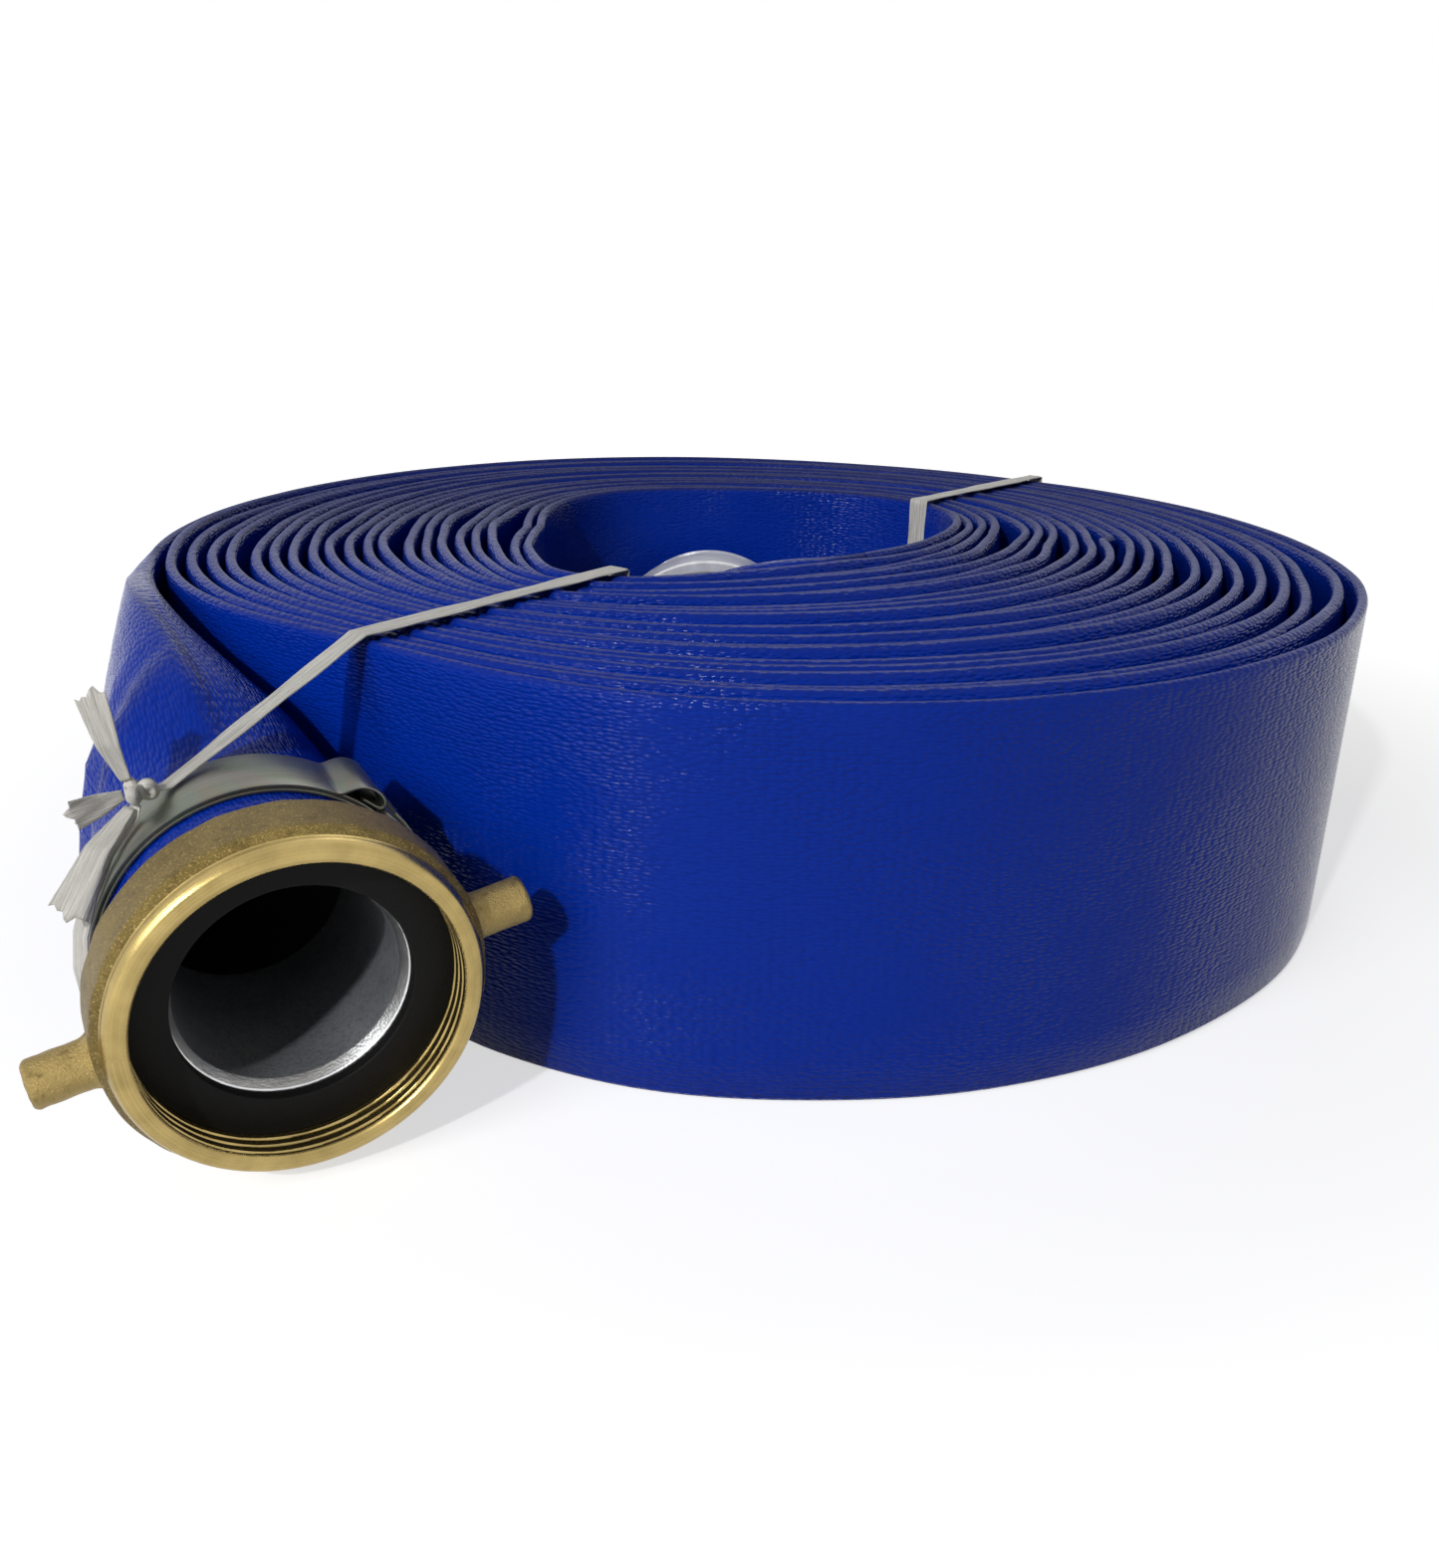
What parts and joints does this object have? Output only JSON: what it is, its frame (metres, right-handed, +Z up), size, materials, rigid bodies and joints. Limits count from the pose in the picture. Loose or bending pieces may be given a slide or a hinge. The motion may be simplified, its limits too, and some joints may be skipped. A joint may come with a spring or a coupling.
{
  "type": "rolled fire hose",
  "caption": "Flat blue hose rolled up on its side, with a lugged brass swivel coupling on its outer end, a threaded coupling in the eye and film ties; carries water from a pump.",
  "frame": {"origin": "on the floor under the middle of the part's box seen from above", "axes": "+Z up along the axis of the roll, +Y away from the swivel coupling's side, +X to the right of it"},
  "size_m": [0.3217, 0.3586, 0.0879],
  "materials": {
    "hose": "satin",
    "brass": "satin cast",
    "rubber": "matte",
    "aluminium": "as cast, machined edges",
    "steel": "galvanised",
    "film": "satin film"
  },
  "bodies": {
    "roll": {"hose_coil": "hose", "hose_outer_tail": "hose", "hose_inner_tail": "hose", "swivel_shank": "aluminium", "swivel_clamp_band": "steel", "swivel_clamp_buckle": "steel", "threaded_coupling": "aluminium", "threaded_clamp_band": "steel", "threaded_clamp_buckle": "steel", "front_tie": "film", "front_tie_knot": "film", "front_tie_upper_tail": "film", "front_tie_left_tail": "film", "front_tie_lower_tail": "film", "rear_tie": "film", "rear_tie_knot": "film"},
    "swivel": {"swivel_nut": "brass", "swivel_gasket": "rubber"}
  },
  "joints": [
    {"name": "nut_swivel", "type": "hinge", "parent": "roll", "child": "swivel", "pos_m": [-0.07876, -0.16276, 0.03634], "axis": [0.4913, -0.8684, -0.0663], "continuous": true}
  ]
}
